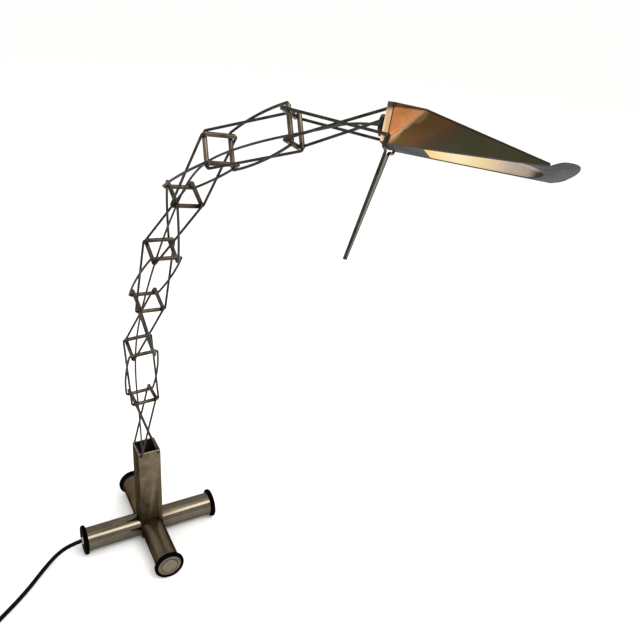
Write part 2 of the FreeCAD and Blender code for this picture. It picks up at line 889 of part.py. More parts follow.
def build():
    """All nodes by name."""
    nodes = {"post": post(), "terminal_block": terminal_block()}
    sides = {"right": 0, "back": 90, "left": 180, "front": 270}
    tube = foot_tube()
    for name, angle in sides.items():
        nodes["base_tube_" + name] = turned_to(angle, tube)
    ring = foot_ring()
    nodes["foot_rings"] = Part.makeCompound([turned_to(angle, ring) for angle in sides.values()])
    plain = end_cap(0)
    nodes["end_caps_plain"] = Part.makeCompound(
        [turned_to(sides[name], plain) for name in ("right", "back")])
    nodes["end_cap_cord"] = turned_to(sides["left"], end_cap(gland_radius))
    nodes["end_cap_switch"] = turned_to(sides["front"], end_cap(button_radius + button_gap))
    slug = ballast_slug()
    nodes["ballast_slugs"] = Part.makeCompound([turned_to(angle, slug) for angle in sides.values()])
    nodes["switch_body"] = turned_to(sides["front"], switch_body())
    nodes["switch_button"] = turned_to(sides["front"], switch_button())
    for number in BAYS:
        first, second = links(number)
        nodes["link_a%d" % (number + 1)] = first
        nodes["link_b%d" % (number + 1)] = second
    nodes["handle_grip"] = handle_grip(nodes["link_a%d" % (LAST + 1)])
    for number in BAYS[1:]:
        nodes["frame_%d" % number] = soldered_frame(number)
    foot = lead_in_post()
    nodes["lead_post"] = rod(foot, route_radii(foot), lead_radius)
    report("lead_post", foot, nodes["lead_post"], lead_radius)
    for number in BAYS:
        name = "lead_%d" % (number + 1)
        points = lead_length(number)
        nodes[name] = rod(points, route_radii(points), lead_radius)
        report(name, points, nodes[name], lead_radius)
    shade = {"shade_shell": shade_shell(), "bottom_plate": bottom_plate(), "holder_plate": holder_plate(),
             "lamp_holder": lamp_holder(), "lamp_base": lamp_base(), "lamp_glass": lamp_glass()}
    for name, shape in shade.items():
        shape.Placement = FRAMES[-1].multiply(shape.Placement)
        nodes[name] = shape
    nodes["cord_gland"] = cord_gland()
    nodes["cord_inside"] = cord_inside()
    route = cord_points()
    nodes["cord_run"] = rod(route, route_radii(route), cord_radius)
    report("cord_run", route, nodes["cord_run"], cord_radius)
    edges, start, end, direction = coil_edges()
    nodes["cord_coil"] = swept(edges, start, heading(coil_heading_angle), cord_radius)
    length = sum(edge.Length for edge in edges)
    print("cord_coil length", round(length), "volume share",
          round(nodes["cord_coil"].Volume / (math.pi * cord_radius ** 2 * length), 4),
          "least radius", round(coil_outer - coil_lower_halves * coil_pitch / 2, 1),
          "least gap", round(least_gap(edges), 3))
    tail = tail_points(end, direction)
    nodes["cord_tail"] = rod(tail, route_radii(tail), cord_radius)
    report("cord_tail", tail, nodes["cord_tail"], cord_radius)
    place = plug_place(tail)
    for name, shape in (("plug_body", plug_body()), ("plug_prongs", plug_prongs())):
        shape.Placement = place.multiply(shape.Placement)
        nodes[name] = shape
    return nodes


def plan_centre(nodes):
    """Middle, in plan, of the lamp's box at rest without its mains cord."""
    lamp = [shape for name, shape in nodes.items() if name not in CORD_NODES]
    box = Part.makeCompound(lamp).optimalBoundingBox()
    return V(box.Center.x, box.Center.y, 0)


os.makedirs("parts", exist_ok=True)
built = build()
centre = plan_centre(built)
for node, shape in built.items():
    shape.translate(-centre)
    shape.exportStep("parts/%s.step" % node)
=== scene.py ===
import json
import logging
import math
import random
from dataclasses import dataclass, field
from enum import Enum
from itertools import pairwise

import bmesh
import bpy
from mathutils import Matrix, Vector


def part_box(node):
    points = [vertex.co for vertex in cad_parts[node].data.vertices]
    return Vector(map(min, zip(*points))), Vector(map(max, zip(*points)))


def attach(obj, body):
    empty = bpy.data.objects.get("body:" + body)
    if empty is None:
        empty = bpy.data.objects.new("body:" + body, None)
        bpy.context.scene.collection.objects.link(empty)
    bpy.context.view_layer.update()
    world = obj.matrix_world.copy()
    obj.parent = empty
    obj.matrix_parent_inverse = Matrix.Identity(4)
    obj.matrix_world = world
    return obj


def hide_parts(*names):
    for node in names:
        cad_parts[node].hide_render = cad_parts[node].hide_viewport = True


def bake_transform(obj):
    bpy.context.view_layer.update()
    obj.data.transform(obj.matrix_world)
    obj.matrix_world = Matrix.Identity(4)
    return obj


LOG = logging.getLogger("desk_lamp")
MM = 0.001
UPRIGHT = Vector((0.0, 0.0, 1.0))

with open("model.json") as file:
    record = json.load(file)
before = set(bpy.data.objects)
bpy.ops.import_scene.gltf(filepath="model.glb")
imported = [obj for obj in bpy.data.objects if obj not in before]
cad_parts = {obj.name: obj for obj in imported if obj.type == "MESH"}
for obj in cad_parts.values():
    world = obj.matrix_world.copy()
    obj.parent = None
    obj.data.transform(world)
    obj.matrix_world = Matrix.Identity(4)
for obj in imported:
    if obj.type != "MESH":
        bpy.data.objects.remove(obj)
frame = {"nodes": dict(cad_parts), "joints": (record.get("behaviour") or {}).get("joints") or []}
NODES = frame["nodes"]
JOINTS = {joint["name"]: joint for joint in frame["joints"]}
BAYS = sum(name.endswith("_fold") for name in JOINTS)
POST_LOW, POST_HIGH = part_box("post")
# Place of the square post's axis on the table, in metres
POST_AXIS = Vector(((POST_LOW.x + POST_HIGH.x) / 2, (POST_LOW.y + POST_HIGH.y) / 2, 0.0))
# The shade's middle in millimetres from the post's foot, and its own axes, as the arm carries it at rest
SHADE_CENTRE = (126.06, -312.95, 652.5)
SHADE_ACROSS = Vector((0.7080, 0.5842, -0.3968))
SHADE_UP = Vector((0.3011, 0.2586, 0.9179))
SHADE_FORWARD = Vector((0.6388, -0.7693, 0.0072))
# Height of a small frame's middle above the lower pair of its tubes
FRAME_LAYER_MM = 2.2
# Beads and blobs are shaded smooth up to this angle
ROUND_DEGREES = 60.0


class Axis(Enum):
    """The direction that a metal was brushed in."""

    X = 0
    Y = 1
    Z = 2
    NONE = 3


class Side(Enum):
    """The four arms of the foot, by the name of their nodes."""

    RIGHT = "right"
    BACK = "back"
    LEFT = "left"
    FRONT = "front"


def linear(code: str, alpha: float = 1.0) -> tuple[float, float, float, float]:
    """Turn an sRGB hex colour into linear values.

    Args:
        code: Six hex digits, such as "6b5a43".
        alpha: Opacity from 0 to 1.

    Returns:
        Linear red, green, blue and alpha.
    """
    values = [int(code[i:i + 2], 16) / 255 for i in (0, 2, 4)]
    tone = [v / 12.92 if v <= 0.04045 else ((v + 0.055) / 1.055) ** 2.4 for v in values]
    return (tone[0], tone[1], tone[2], alpha)


def point(spot: tuple[float, float, float]) -> Vector:
    """Turn a point in millimetres from the post's foot into a place in metres."""
    return Vector(spot) * MM + POST_AXIS


@dataclass(frozen=True)
class Station:
    """Place of one small frame of the arm, in metres, and the directions of its tubes."""

    centre: Vector
    across: Vector
    along: Vector

    @property
    def up(self) -> Vector:
        """Direction from the bay below the frame to the one above it."""
        return self.across.cross(self.along)

    def spot(self, across_mm: float, along_mm: float) -> Vector:
        """Place in metres that lies so far across and along the frame from its middle."""
        return self.centre + (self.across * across_mm + self.along * along_mm) * MM


def station(number: int) -> Station:
    """Work out a small frame's place from the joints that it carries.

    The lower pair of its tubes holds the pivots of the bay above, so the frame's middle is
    half way between those two pivots and one layer higher.

    Args:
        number: The frame's number, from 1 above the post to the last one before the shade.

    Returns:
        The frame's place.
    """
    below = Vector(JOINTS["bay_%d_tilt" % number]["axis"])
    fold, swing = JOINTS["bay_%d_fold" % (number + 1)], JOINTS["bay_%d_swing" % (number + 1)]
    above = Vector(fold["axis"])
    # Even bays turn about axes that point against the frame's across direction
    across, along = (-above, below) if number % 2 else (-below, above)
    middle = (Vector(fold["pos_m"]) + Vector(swing["pos_m"])) / 2
    return Station(middle + across.cross(along) * FRAME_LAYER_MM * MM, across, along)


def add_node(tree: bpy.types.NodeTree, kind: str, inputs: dict | None = None,
             **settings: object) -> bpy.types.Node:
    """Add one shader node with its settings, values and links.

    Args:
        tree: The material's node tree.
        kind: The node's type name.
        inputs: Socket name or number, with a value or another node's output.
        settings: The node's own settings.

    Returns:
        The new node.
    """
    made = tree.nodes.new(kind)
    for name, value in settings.items():
        setattr(made, name, value)
    for name, value in (inputs or {}).items():
        if isinstance(value, bpy.types.NodeSocket):
            tree.links.new(value, made.inputs[name])
        else:
            made.inputs[name].default_value = value
    return made


def ramp(tree: bpy.types.NodeTree, factor: bpy.types.NodeSocket,
         stops: list[tuple[float, tuple]]) -> bpy.types.NodeSocket:
    """Add a colour ramp.

    Args:
        tree: The material's node tree.
        factor: What drives the ramp.
        stops: Positions from 0 to 1, each with its colour.

    Returns:
        The ramp's colour output.
    """
    made = add_node(tree, "ShaderNodeValToRGB", {"Fac": factor})
    elements = made.color_ramp.elements
    while len(elements) < len(stops):
        elements.new(0.5)
    for element, (place, colour) in zip(elements, stops):
        element.position = place
        element.color = colour
    return made.outputs["Color"]


def calculate(tree: bpy.types.NodeTree, operation: str,
              *values: float | bpy.types.NodeSocket) -> bpy.types.NodeSocket:
    """Add one piece of arithmetic and give its result."""
    inputs = dict(enumerate(values))
    return add_node(tree, "ShaderNodeMath", inputs, operation=operation).outputs[0]


def between(tree: bpy.types.NodeTree, value: bpy.types.NodeSocket, low: float, high: float,
            result: tuple[float, float] = (0.0, 1.0), way: str = "SMOOTHSTEP") -> bpy.types.NodeSocket:
    """Turn a range of values into another range.

    Args:
        tree: The material's node tree.
        value: The value to turn.
        low: Where the range starts.
        high: Where the range ends.
        result: What the start and the end become.
        way: How it goes from one to the other.

    Returns:
        The turned value's output.
    """
    made = add_node(tree, "ShaderNodeMapRange",
                    {"Value": value, "From Min": low, "From Max": high,
                     "To Min": result[0], "To Max": result[1]}, interpolation_type=way)
    return made.outputs[0]


def blend_colours(tree: bpy.types.NodeTree, factor: bpy.types.NodeSocket,
                  low: tuple | bpy.types.NodeSocket,
                  high: tuple | bpy.types.NodeSocket) -> bpy.types.NodeSocket:
    """Mix two colours by a factor.

    Args:
        tree: The material's node tree.
        factor: 0 gives the first colour, 1 the second.
        low: The first colour, or an output with it.
        high: The second colour, or an output with it.

    Returns:
        The mixed colour output.
    """
    made = add_node(tree, "ShaderNodeMix", {"Factor": factor}, data_type="RGBA")
    for number, colour in ((6, low), (7, high)):
        if isinstance(colour, bpy.types.NodeSocket):
            tree.links.new(colour, made.inputs[number])
        else:
            made.inputs[number].default_value = colour
    return made.outputs[2]


def away_from(tree: bpy.types.NodeTree, centre: tuple) -> bpy.types.NodeSocket:
    """Vector in metres from a point that is in millimetres from the post's foot.

    Args:
        tree: The material's node tree.
        centre: The point.

    Returns:
        The vector's output.
    """
    coord = add_node(tree, "ShaderNodeTexCoord")
    moved = add_node(tree, "ShaderNodeVectorMath",
                     {0: coord.outputs["Object"], 1: point(centre)}, operation="SUBTRACT")
    return moved.outputs[0]


def distance_along(tree: bpy.types.NodeTree, centre: tuple, direction: Vector) -> bpy.types.NodeSocket:
    """Distance in millimetres from a point, along a direction.

    Args:
        tree: The material's node tree.
        centre: The point, in millimetres from the post's foot.
        direction: The direction, of length one.

    Returns:
        The distance's output.
    """
    along = add_node(tree, "ShaderNodeVectorMath", {0: away_from(tree, centre), 1: direction},
                     operation="DOT_PRODUCT")
    return calculate(tree, "MULTIPLY", along.outputs["Value"], 1 / MM)


def new_material(name: str, values: dict) -> tuple[bpy.types.Material, bpy.types.Node]:
    """Start a material and set its surface's values.

    Args:
        name: The material's name.
        values: Socket names of the surface, with their values.

    Returns:
        The material and its surface node.
    """
    material = bpy.data.materials.new(name)
    material.use_nodes = True
    surface = material.node_tree.nodes["Principled BSDF"]
    for socket, value in values.items():
        surface.inputs[socket].default_value = value
    return material, surface


# Finishes

# Where a noise has its middle, and the range that its values mostly keep to
NOISE_MIDDLE = 0.5
NOISE_RANGE = (0.3, 0.7)
GRAIN_NOISE = {"Scale": 1.0, "Detail": 5.0, "Roughness": 0.62}
PATCH_NOISE = {"Detail": 4.0, "Roughness": 0.55}
RING_NOISE = {"Scale": 1.0, "Detail": 3.0}


@dataclass(frozen=True)
class Finish:
    """A surface: its colours, its gloss and the grain that its making left."""

    name: str
    base: str
    shade: str
    metallic: float = 0.0
    rough_low: float = 0.4
    rough_high: float = 0.6
    grain_mm: float = 1.0
    stretch: float = 1.0
    brushed: Axis = Axis.NONE
    patch_mm: float = 18.0
    patch_low: float = 0.35
    patch_high: float = 0.68
    bump_mm: float = 0.02
    bump_strength: float = 0.3
    coat: float = 0.0
    specular: float = 0.5
    rim: str = "ffffff"
    streak_low: float = 0.8
    streak_high: float = 1.15
    turn: tuple[float, float, float] = (0.0, 0.0, 0.0)

    def grain_scale(self) -> tuple[float, float, float]:
        """Work out how fine the grain is along the three axes.

        Returns:
            Grains per metre along X, Y and Z.
        """
        scale = [1 / (self.grain_mm * MM)] * 3
        if self.brushed is not Axis.NONE:
            scale[self.brushed.value] /= self.stretch
        return tuple(scale)

    def pattern(self, tree: bpy.types.NodeTree) -> tuple[bpy.types.NodeSocket, bpy.types.NodeSocket]:
        """Add the fine grain and the large soft patches.

        Args:
            tree: The material's node tree.

        Returns:
            The grain's and the patches' value outputs.
        """
        coord = add_node(tree, "ShaderNodeTexCoord")
        turned = add_node(tree, "ShaderNodeMapping",
                          {"Vector": coord.outputs["Object"], "Rotation": self.turn})
        fine = add_node(tree, "ShaderNodeMapping",
                        {"Vector": turned.outputs[0], "Scale": self.grain_scale()})
        grain = add_node(tree, "ShaderNodeTexNoise",
                         {"Vector": fine.outputs[0], **GRAIN_NOISE})
        patches = add_node(tree, "ShaderNodeTexNoise",
                           {"Vector": coord.outputs["Object"], "Scale": 1 / (self.patch_mm * MM),
                            **PATCH_NOISE})
        return grain.outputs["Fac"], patches.outputs["Fac"]

    def colour(self, tree: bpy.types.NodeTree, grain: bpy.types.NodeSocket,
               patches: bpy.types.NodeSocket) -> bpy.types.NodeSocket:
        """Mix the two colours by the patches, and a little by the grain.

        Args:
            tree: The material's node tree.
            grain: The fine pattern.
            patches: The large pattern.

        Returns:
            The colour output.
        """
        spread = ramp(tree, patches, [(self.patch_low, linear(self.base)),
                                      (self.patch_high, linear(self.shade))])
        streaks = between(tree, grain, *NOISE_RANGE, (self.streak_low, self.streak_high), "LINEAR")
        toned = add_node(tree, "ShaderNodeVectorMath", {0: spread, 1: streaks}, operation="MULTIPLY")
        return toned.outputs[0]

    def raise_grain(self, tree: bpy.types.NodeTree, surface: bpy.types.Node,
                    height: bpy.types.NodeSocket) -> None:
        """Let a pattern stand out of the surface.

        Args:
            tree: The material's node tree.
            surface: The material's surface node.
            height: The pattern.
        """
        bump = add_node(tree, "ShaderNodeBump",
                        {"Height": height, "Strength": self.bump_strength, "Distance": self.bump_mm * MM})
        tree.links.new(bump.outputs[0], surface.inputs["Normal"])

    def make(self) -> bpy.types.Material:
        """Build the material.

        Returns:
            The finished material.
        """
        material, surface = new_material(self.name, {
            "Metallic": self.metallic, "Coat Weight": self.coat, "Specular IOR Level": self.specular,
            "Specular Tint": linear(self.rim)})
        tree = material.node_tree
        grain, patches = self.pattern(tree)
        tree.links.new(self.colour(tree, grain, patches), surface.inputs["Base Color"])
        rough = between(tree, grain, *NOISE_RANGE, (self.rough_low, self.rough_high), "LINEAR")
        tree.links.new(rough, surface.inputs["Roughness"])
        self.raise_grain(tree, surface, grain)
        self.finish(tree, surface)
        return material

    def finish(self, tree: bpy.types.NodeTree, surface: bpy.types.Node) -> None:
        """Leave room for what a special finish adds."""


@dataclass(frozen=True)
class TurnedFace(Finish):
    """Metal disc that was faced on a lathe: fine rings around its centre."""

    centre: tuple[float, float, float] = (0.0, 0.0, 0.0)
    ring_mm: float = 0.5

    def finish(self, tree: bpy.types.NodeTree, surface: bpy.types.Node) -> None:
        """Replace the grain by rings around the disc's centre.

        Args:
            tree: The material's node tree.
            surface: The material's surface node.
        """
        radius = add_node(tree, "ShaderNodeVectorMath", {0: away_from(tree, self.centre)},
                          operation="LENGTH")
        scaled = calculate(tree, "MULTIPLY", radius.outputs["Value"], 1 / (self.ring_mm * MM))
        rings = add_node(tree, "ShaderNodeTexNoise", {"W": scaled, **RING_NOISE}, noise_dimensions="1D")
        self.raise_grain(tree, surface, rings.outputs["Fac"])


@dataclass(frozen=True)
class SheetWithPaintedLight(Finish):
    """Bronze sheet with a warm painted reflection on its rear facet and beside it, and a pale collar with
    painted highlight and shade.
    """

    # Painted reflection: the warm colours of the rear facet
    painted_reflection: str = "b9794a"
    painted_reflection_dark: str = "8f5a33"
    painted_reflection_patch: tuple[float, float] = (0.36, 0.66)
    # Painted highlight on the collar's face, and painted shade at its foot and top
    collar: str = "c4a178"
    collar_painted_shade: str = "4d4138"
    seam: str = "2b221b"
    # Painted highlight along the crease
    crease_highlight: str = "a98c6a"
    # Painted shadow under the fold along the roof's edge
    fold: str = "2c241a"
    # Tones of the long side: a warm painted reflection beside the crease that runs into dark olive
    run: tuple = ((0.0, "6b5336"), (0.05, "4c3b22"), (0.2, "4e3923"), (0.34, "513724"), (0.46, "413326"),
                  (0.66, "3b3728"), (1.0, "363526"))
    run_mm: float = 60.0
    cloud_mm: float = 40.0
    mottle_from_mm: float = 8.0
    mottle_share: float = 0.75
    crease_up: float = -0.6524
    crease_ahead: float = 0.7578
    facet_edge_mm: tuple[float, float] = (-1.0, 0.4)
    crease_highlight_mm: tuple[float, float] = (0.2, 2.2)
    crease_highlight_share: float = 0.6
    collar_front_mm: tuple[float, float] = (1.9, 2.1)
    collar_foot_mm: tuple[float, float] = (-17.6, -16.2)
    collar_top_mm: tuple[float, float] = (6.0, 11.0)
    seam_ahead_mm: float = 2.0
    seam_down_mm: float = -18.0
    seam_mm: tuple[float, float] = (0.25, 0.6)
    roof_up_mm: float = 12.2
    roof_ahead_mm: float = 28.0
    roof_fall: float = -0.31
    fold_shadow_mm: tuple[float, float] = (0.8, 2.6)
    fold_shadow_strength: float = 0.92

    def colour(self, tree: bpy.types.NodeTree, grain: bpy.types.NodeSocket,
               patches: bpy.types.NodeSocket) -> bpy.types.NodeSocket:
        """Lay the sheet's tones from the crease forward, the painted reflection on the rear facet, the
        collar's painted highlight and shade, the painted highlight along the crease and the painted shadow
        under the roof's fold.

        Args:
            tree: The material's node tree.
            grain: The fine pattern.
            patches: The large pattern.

        Returns:
            The colour output.
        """
        sheet = Finish.colour(self, tree, grain, patches)
        ahead = distance_along(tree, SHADE_CENTRE, SHADE_FORWARD)
        up = distance_along(tree, SHADE_CENTRE, SHADE_UP)
        past = calculate(tree, "SUBTRACT", ahead, self.seam_ahead_mm)
        over = calculate(tree, "SUBTRACT", up, self.seam_down_mm)
        crease = calculate(tree, "ADD", calculate(tree, "MULTIPLY", over, self.crease_up),
                           calculate(tree, "MULTIPLY", past, self.crease_ahead))
        side = self.side_tone(tree, crease, patches, sheet)
        # Painted reflection on the rear facet
        tones = (linear(self.painted_reflection), linear(self.painted_reflection_dark))
        warm = ramp(tree, patches, list(zip(self.painted_reflection_patch, tones)))
        facet = blend_colours(tree, between(tree, crease, *self.facet_edge_mm), warm, side)
        # Painted highlight along the crease
        rise = calculate(tree, "ABSOLUTE", crease)
        bright = between(tree, rise, *self.crease_highlight_mm, (self.crease_highlight_share, 0.0))
        with_crease_highlight = blend_colours(tree, bright, facet, linear(self.crease_highlight))
        # Painted shadow under the roof's fold
        folded = blend_colours(tree, self.fold_shadow_share(tree, ahead, up), with_crease_highlight, linear(self.fold))
        # The collar: painted highlight, with painted shade at its foot and top
        pale, dark = linear(self.collar), linear(self.collar_painted_shade)
        upper = blend_colours(tree, between(tree, up, *self.collar_top_mm), pale, dark)
        band = blend_colours(tree, between(tree, up, *self.collar_foot_mm), dark, upper)
        strip = blend_colours(tree, between(tree, ahead, *self.collar_front_mm), band, folded)
        off_seam = calculate(tree, "ABSOLUTE", past)
        return blend_colours(tree, between(tree, off_seam, *self.seam_mm), linear(self.seam), strip)

    def side_tone(self, tree: bpy.types.NodeTree, crease: bpy.types.NodeSocket,
                  patches: bpy.types.NodeSocket, sheet: bpy.types.NodeSocket) -> bpy.types.NodeSocket:
        """Tone of the long side: a warm painted reflection beside the crease, then the sheet's dark olive.

        Args:
            tree: The material's node tree.
            crease: Distance forward from the crease, in millimetres.
            patches: The large pattern, which makes the change uneven.
            sheet: The sheet's own mottled colour.

        Returns:
            The colour output.
        """
        centred = calculate(tree, "SUBTRACT", patches, NOISE_MIDDLE)
        cloud = calculate(tree, "MULTIPLY", centred, self.cloud_mm)
        place = calculate(tree, "DIVIDE", calculate(tree, "ADD", crease, cloud), self.run_mm)
        tone = ramp(tree, place, [(spot, linear(code)) for spot, code in self.run])
        mottled = between(tree, crease, self.mottle_from_mm, self.run_mm, (0.0, self.mottle_share))
        return blend_colours(tree, mottled, tone, sheet)

    def fold_shadow_share(self, tree: bpy.types.NodeTree, ahead: bpy.types.NodeSocket,
                   up: bpy.types.NodeSocket) -> bpy.types.NodeSocket:
        """Strength of the painted shadow under the fold along the roof's edge.

        Args:
            tree: The material's node tree.
            ahead: Distance forward from the shade's middle, in millimetres.
            up: Distance above the shade's middle, in millimetres.

        Returns:
            The strength's output, from 0 to 1.
        """
        along = calculate(tree, "SUBTRACT", ahead, self.roof_ahead_mm)
        slope = calculate(tree, "MULTIPLY", calculate(tree, "MAXIMUM", along, 0.0), self.roof_fall)
        level = calculate(tree, "ADD", slope, self.roof_up_mm)
        below = calculate(tree, "SUBTRACT", level, up)
        return between(tree, below, *self.fold_shadow_mm, (self.fold_shadow_strength, 0.0))


@dataclass(frozen=True)
class EnamelWithPaintedGlow(Finish):
    """Enamel inside the shade with a painted glow in place of the lamp's light on it: brightest beside the
    lamp, with painted shade towards the sides and at the front end.
    """

    # Painted glow along the shade, ending in painted shade at the front end
    painted_glow: tuple = ((0.0, "c8862c"), (0.22, "f2cc78"), (0.45, "fff0c4"), (0.62, "f4dc9e"), (0.71, "dfc6a2"),
                   (0.8, "b3a493"), (0.93, "988c80"), (0.975, "241f1b"))
    reach_mm: float = 126.0
    # How much the painted glow dims towards the sides: painted shade
    side_share: float = 0.25
    strength: float = 0.8

    def finish(self, tree: bpy.types.NodeTree, surface: bpy.types.Node) -> None:
        """Add the painted glow, from warm at the rear to dull at the front, where it turns to painted
        shade.

        Args:
            tree: The material's node tree.
            surface: The material's surface node.
        """
        ahead = distance_along(tree, SHADE_CENTRE, SHADE_FORWARD)
        aside = calculate(tree, "ABSOLUTE", distance_along(tree, SHADE_CENTRE, SHADE_ACROSS))
        dimmed = calculate(tree, "ADD", ahead, calculate(tree, "MULTIPLY", aside, self.side_share))
        share = calculate(tree, "DIVIDE", dimmed, self.reach_mm)
        tone = ramp(tree, share, [(place, linear(code)) for place, code in self.painted_glow])
        tree.links.new(tone, surface.inputs["Emission Color"])
        surface.inputs["Emission Strength"].default_value = self.strength


@dataclass(frozen=True)
class Glow:
    """Frosted glass that is lit from inside."""

    name: str
    tint: str
    strength: float
    glass: str = "fff3dc"
    roughness: float = 0.35

    def make(self) -> bpy.types.Material:
        """Build the glowing material."""
        return new_material(self.name, {
            "Base Color": linear(self.glass), "Roughness": self.roughness,
            "Emission Color": linear(self.tint), "Emission Strength": self.strength})[0]


@dataclass(frozen=True)
class BrownerNearFoot(Finish):
    """Steel that is browner just above the foot tubes."""

    tint: str = "46311a"
    from_mm: float = 30.0
    to_mm: float = 78.0
    uneven_mm: float = 30.0
    tint_share: float = 0.75
    lip: str = "958d80"
    lip_share: float = 0.8
    lip_from_mm: float = 151.6
    lip_to_mm: float = 152.6

    def colour(self, tree: bpy.types.NodeTree, grain: bpy.types.NodeSocket,
               patches: bpy.types.NodeSocket) -> bpy.types.NodeSocket:
        """Add the brown tone at the foot and the lighter band along the top edge.

        Args:
            tree: The material's node tree.
            grain: The fine pattern.
            patches: The large pattern.

        Returns:
            The colour output.
        """
        steel = Finish.colour(self, tree, grain, patches)
        height = distance_along(tree, (0.0, 0.0, 0.0), UPRIGHT)
        uneven = calculate(tree, "ADD", height, calculate(tree, "MULTIPLY", patches, self.uneven_mm))
        share = between(tree, uneven, self.from_mm, self.to_mm, (self.tint_share, 0.0))
        tinted = blend_colours(tree, share, steel, linear(self.tint))
        lighter_top = between(tree, height, self.lip_from_mm, self.lip_to_mm, (0.0, self.lip_share))
        return blend_colours(tree, lighter_top, tinted, linear(self.lip))


# Stainless tube, drawn and brushed along its length: long fine streaks, soft gloss
# The side tubes' copy is darker, the front and back tubes' copy lighter: painted shade and painted light
TUBE_X = Finish("brushed_stainless_tube_x", "5b5343", "494134", 1.0, 0.12, 0.18, 0.5, 60.0, Axis.X,
                patch_mm=30.0, bump_mm=0.004, bump_strength=0.08, coat=0.5, rim="6e675a")
TUBE_Y = Finish("brushed_stainless_tube_y", "685c4c", "524636", 1.0, 0.3, 0.42, 0.5, 60.0, Axis.Y,
                patch_mm=30.0, bump_mm=0.008, bump_strength=0.15, rim="6e675a")
# Weld beads at the post's foot, left dark by the heat
WELD_STEEL = Finish("heat_darkened_weld_bead", "2b2118", "15100b", 1.0, 0.4, 0.6, 0.6, patch_mm=3.0,
                    bump_mm=0.06)
# Square stainless tube, ground by hand: mottled and a little duller
POST_STEEL = BrownerNearFoot("ground_stainless_post", "6b5f4f", "534837", 1.0, 0.34, 0.5, 0.7, 25.0, Axis.Z,
                        patch_mm=15.0, bump_mm=0.015, bump_strength=0.25, rim="6e675a")
# Stainless wire and small tube, drawn: darkened by handling and solder heat
WIRE_STEEL = Finish("drawn_stainless_wire", "3b3833", "24211d", 1.0, 0.3, 0.46, 1.2, patch_mm=9.0,
                    bump_mm=0.01)
FRAME_STEEL = Finish("soldered_stainless_tube", "5f5346", "24201b", 1.0, 0.32, 0.5, 1.0, patch_mm=19.0,
                     bump_mm=0.02)
# Silver solder: lumpy beside the tube and darkened by flux
SOLDER = Finish("silver_solder", "4c443b", "221e19", 1.0, 0.4, 0.58, 0.8, patch_mm=2.0, bump_mm=0.08)
# Flat bar between the handle's wires: paler where hands polish it
GRIP_STEEL = Finish("flattened_stainless_grip", "81746a", "4d463f", 1.0, 0.3, 0.44, 0.6, patch_mm=22.0,
                    bump_mm=0.01)
# Faced end discs: fine lathe rings
CAP_STEEL = TurnedFace("faced_steel_cap", "6a6256", "5a5247", 1.0, 0.32, 0.46, 0.8, patch_mm=9.0,
                       bump_mm=0.01, bump_strength=0.35, centre=(0.0, -93.2, 19.85))
# The cord end's cap is a darker copy of the same faced steel: painted shade
CAP_STEEL_SHADED = TurnedFace("faced_steel_cap_painted_shade", "3f3a34", "332f2a", 1.0, 0.32, 0.46, 0.8,
                            patch_mm=9.0, bump_mm=0.01, bump_strength=0.35, rim="4a453e",
                            centre=(-93.2, 0.0, 19.85))
# The push button's face: warmer and smoother than the cap around it
BUTTON_STEEL = TurnedFace("faced_steel_button", "7a6d5d", "6b5f50", 1.0, 0.3, 0.42, 0.8, patch_mm=7.0,
                          bump_mm=0.008, bump_strength=0.3, centre=(0.0, -93.7, 19.85))
# Moulded nitrile rubber: matt black with a faint bloom
RUBBER = Finish("moulded_black_rubber", "030303", "080808", 0.0, 0.5, 0.7, 0.9, patch_mm=8.0,
                bump_mm=0.03, specular=0.004)
# Soft PVC cord sheath: smooth, slightly glossy black
SHEATH = Finish("black_pvc_sheath", "040405", "090909", 0.0, 0.34, 0.48, 1.5, patch_mm=30.0,
                bump_mm=0.01, specular=0.04)
# Thin silicone lead: dull grey-black skin
LEAD_SKIN = Finish("grey_black_lead_sheath", "24211e", "35312d", 0.0, 0.4, 0.55, 1.0, patch_mm=12.0,
                   bump_mm=0.01, specular=0.2)
# Moulded phenolic of the lampholder, the switch and the plug: black with a soft gloss
BLACK_PLASTIC = Finish("black_phenolic_plastic", "0a0a0a", "131211", 0.0, 0.28, 0.42, 1.0,
                       patch_mm=10.0, bump_mm=0.01, specular=0.3)
# Nylon bush round the cord: pale and slightly waxy
PALE_BUSH = Finish("pale_nylon_bush", "b9b2a2", "9b9383", 0.0, 0.4, 0.5, 1.0, patch_mm=4.0, bump_mm=0.01)
# Cast iron slug, rough and grey, and glazed ceramic block, off-white: both hidden inside the foot
IRON = Finish("cast_iron_slug", "2c2b2a", "3a3633", 0.8, 0.6, 0.8, 1.0, patch_mm=5.0, bump_mm=0.1)
CERAMIC = Finish("ceramic_terminal_block", "cfc8b8", "b9b1a0", 0.0, 0.3, 0.4, 1.0, patch_mm=5.0,
                 bump_mm=0.01)
# Plated brass of the lamp's base and the plug's prongs: yellowish and bright
BRASS = Finish("nickel_brass_base", "b59a63", "8e7442", 1.0, 0.25, 0.4, 0.6, patch_mm=5.0, bump_mm=0.01)
# Folded sheet, brushed and lacquered: dark olive bronze, with a warm painted reflection on the rear facet
# and painted highlights and shade on the collar, the crease and the roof's fold
SHADE_SHEET = SheetWithPaintedLight("bronze_sheet_with_painted_light", "403d2c", "333222", 1.0, 0.3, 0.42, 0.45,
                          patch_mm=24.0, bump_mm=0.008, bump_strength=0.12, streak_low=0.94,
                          streak_high=1.06, rim="8a8070")
# Grey lacquered sheet under the shade: even and matt
PLATE_SHEET = Finish("grey_lacquered_plate", "434143", "343234", 0.0, 0.4, 0.55, 0.5, patch_mm=16.0,
                     bump_mm=0.008, specular=0.02, streak_low=0.9, streak_high=1.1)
